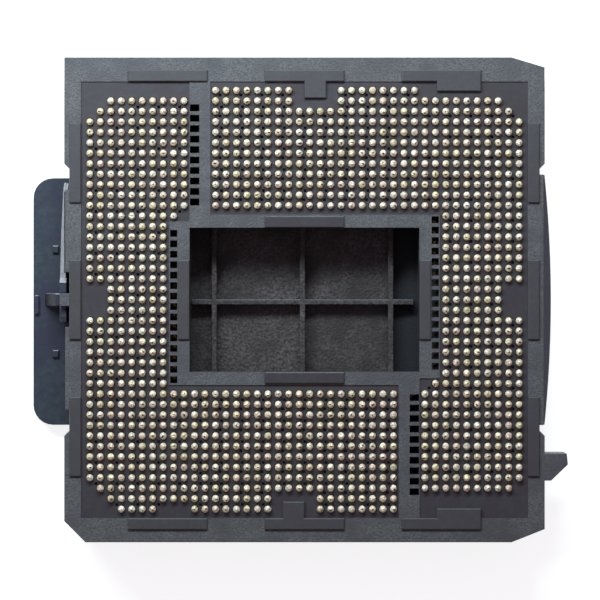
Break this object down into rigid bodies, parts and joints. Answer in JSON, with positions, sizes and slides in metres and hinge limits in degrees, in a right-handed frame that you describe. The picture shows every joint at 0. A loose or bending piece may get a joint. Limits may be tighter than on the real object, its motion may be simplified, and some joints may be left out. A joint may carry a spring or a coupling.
{
  "type": "land grid array socket",
  "caption": "Nearly square black land-grid socket, solder-ball side up, with a rectangular central opening, standing on its pickup cover with a finger tab.",
  "frame": {"origin": "on the axis of the ball grid, at the pickup cover's flat outer face", "axes": "+Z from the pickup cover towards the solder balls, +X from the finger tab towards the orientation lug, +Y away from the lug's end"},
  "size_m": [0.0472, 0.0424, 0.0062],
  "materials": {
    "housing_lcp": "black moulded liquid crystal polymer, finely textured",
    "cover_plastic": "black moulded cover plastic, satin",
    "contact_alloy": "gold-flashed stamped copper alloy",
    "solder": "tin-silver-copper solder balls, satin"
  },
  "bodies": {
    "cover": {"pickup_cover": "cover_plastic"},
    "socket": {"housing": "housing_lcp", "contact_bed_corner": "housing_lcp", "contact_bed_side": "housing_lcp", "contact_bed_end": "housing_lcp", "contacts_01": "contact_alloy", "contacts_02": "contact_alloy", "contacts_03": "contact_alloy", "contacts_04": "contact_alloy", "contacts_05": "contact_alloy", "contacts_06": "contact_alloy", "contacts_07": "contact_alloy", "contacts_08": "contact_alloy", "contacts_09": "contact_alloy", "contacts_10": "contact_alloy", "contacts_11": "contact_alloy", "contacts_12": "contact_alloy", "contacts_13": "contact_alloy", "contacts_14": "contact_alloy", "contacts_15": "contact_alloy", "contacts_16": "contact_alloy", "contacts_17": "contact_alloy", "contacts_18": "contact_alloy", "contacts_19": "contact_alloy", "contacts_20": "contact_alloy", "contacts_21": "contact_alloy", "solder_balls_01": "solder", "solder_balls_02": "solder", "solder_balls_03": "solder", "solder_balls_04": "solder", "solder_balls_05": "solder", "solder_balls_06": "solder", "solder_balls_07": "solder", "solder_balls_08": "solder", "solder_balls_09": "solder", "solder_balls_10": "solder", "solder_balls_11": "solder", "solder_balls_12": "solder", "solder_balls_13": "solder", "solder_balls_14": "solder", "solder_balls_15": "solder", "solder_balls_16": "solder", "solder_balls_17": "solder", "solder_balls_18": "solder", "solder_balls_19": "solder", "solder_balls_20": "solder", "solder_balls_21": "solder"}
  },
  "joints": [
    {"name": "cover_release", "type": "slide", "parent": "cover", "child": "socket", "axis": [0, 0, 1], "range_m": [0, 0.008]}
  ]
}
